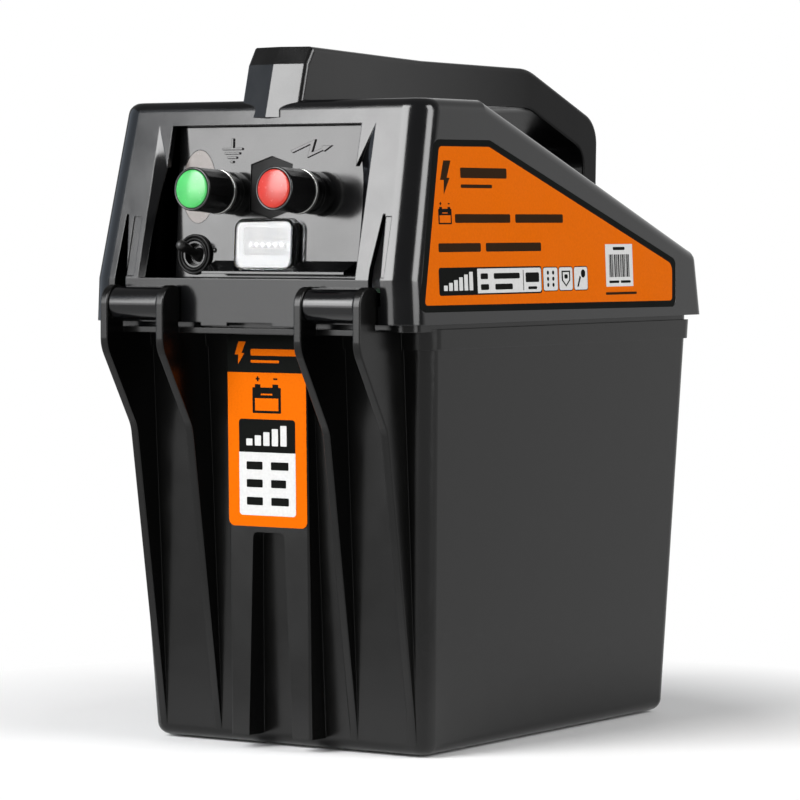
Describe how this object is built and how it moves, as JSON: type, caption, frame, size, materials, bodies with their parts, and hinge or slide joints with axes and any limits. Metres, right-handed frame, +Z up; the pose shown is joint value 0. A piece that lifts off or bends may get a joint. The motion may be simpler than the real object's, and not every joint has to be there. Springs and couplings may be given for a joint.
{
  "type": "fence energizer",
  "caption": "Battery fence energizer: tapered tub, hinged lid with terminals, switch, voltage display and a carrying handle.",
  "frame": {"origin": "on the floor, at the middle of the whole object's footprint", "axes": "+Z up; -Y is the front with the terminals and hinge; +X is to the right seen from the front"},
  "size_m": [0.176, 0.2867, 0.316],
  "materials": {
    "tub_plastic": "satin moulded polypropylene",
    "lid_plastic": "glossy moulded plastic",
    "panel_plastic": "high gloss moulded plastic",
    "label_print": "printed film label, orange and black",
    "steel": "zinc plated",
    "terminal_metal": "lead alloy",
    "battery_plastic": "moulded case",
    "strap_plastic": "webbing strap",
    "lens_plastic": "translucent pale lens",
    "clear_plastic": "clear moulded polycarbonate",
    "white_plastic": "satin white",
    "lamp_plastic": "clear lamp bodies",
    "knob_plastic": "satin gloss black",
    "green_plastic": "bright green, satin",
    "red_plastic": "bright red, satin",
    "circuit_laminate": "glass fibre laminate",
    "core_steel": "laminated core steel",
    "winding_tape": "polyester tape",
    "capacitor_sleeve": "shrink sleeve",
    "heatsink_metal": "extruded",
    "component_plastic": "moulded"
  },
  "bodies": {
    "tub": {"tub_shell": "tub_plastic", "tub_label": "label_print", "hinge_pin_left": "steel", "hinge_pin_right": "steel", "battery_case": "battery_plastic", "battery_posts": "terminal_metal", "battery_lifting_strap": "strap_plastic"},
    "lid": {"lid_housing": "lid_plastic", "side_label_right": "label_print", "side_label_left": "label_print", "lid_floor": "tub_plastic", "floor_screws": "steel", "carry_handle": "lid_plastic", "handle_screws": "steel", "terminal_panel": "panel_plastic", "hex_plug": "panel_plastic", "indicator_lens": "lens_plastic", "display_window": "clear_plastic", "display_frame": "white_plastic", "display_board": "circuit_laminate", "display_lamps": "lamp_plastic", "switch_body": "knob_plastic", "switch_ring": "knob_plastic", "earth_stud": "steel", "fence_stud": "steel", "earth_collar": "knob_plastic", "fence_collar": "knob_plastic", "earth_nut": "steel", "fence_nut": "steel", "latch_pin": "steel", "circuit_board": "circuit_laminate", "board_screws": "steel", "transformer_core": "core_steel", "transformer_winding": "winding_tape", "storage_capacitor": "capacitor_sleeve", "capacitor_clip": "steel", "switching_heatsink": "heatsink_metal", "board_components": "component_plastic"},
    "latch": {"latch_lever": "tub_plastic"},
    "switch_toggle": {"switch_lever": "knob_plastic"},
    "earth_clamp": {"earth_clamp_washer": "steel"},
    "earth_knob_body": {"earth_knob": "knob_plastic", "earth_knob_cap": "green_plastic"},
    "fence_clamp": {"fence_clamp_washer": "steel"},
    "fence_knob_body": {"fence_knob": "knob_plastic", "fence_knob_cap": "red_plastic"}
  },
  "joints": [
    {"name": "lid_hinge", "type": "hinge", "parent": "tub", "child": "lid", "pos_m": [0, -0.1349, 0.201], "axis": [1, 0, 0], "range_deg": [0, 140]},
    {"name": "latch_swing", "type": "hinge", "parent": "lid", "child": "latch", "pos_m": [0, 0.136, 0.207], "axis": [1, 0, 0], "range_deg": [0, 75]},
    {"name": "switch_flip", "type": "hinge", "parent": "lid", "child": "switch_toggle", "pos_m": [-0.0406, -0.10936, 0.22276], "axis": [1, 0, 0], "range_deg": [0, 30]},
    {"name": "earth_clamp_travel", "type": "slide", "parent": "lid", "child": "earth_clamp", "axis": [0, -0.9982, 0.0593], "range_m": [0, 0.00375]},
    {"name": "earth_knob_turn", "type": "hinge", "parent": "earth_clamp", "child": "earth_knob_body", "pos_m": [-0.02225, -0.12069, 0.25118], "axis": [0, -0.9982, 0.0593], "range_deg": [0, 1080]},
    {"name": "fence_clamp_travel", "type": "slide", "parent": "lid", "child": "fence_clamp", "axis": [0, -0.9982, 0.0593], "range_m": [0, 0.00375]},
    {"name": "fence_knob_turn", "type": "hinge", "parent": "fence_clamp", "child": "fence_knob_body", "pos_m": [0.02225, -0.12069, 0.25118], "axis": [0, -0.9982, 0.0593], "range_deg": [0, 1080]}
  ],
  "couplings": [
    {"joint": "earth_clamp_travel", "follows": "earth_knob_turn", "m_per_rad": 0.00019894},
    {"joint": "fence_clamp_travel", "follows": "fence_knob_turn", "m_per_rad": 0.00019894}
  ]
}
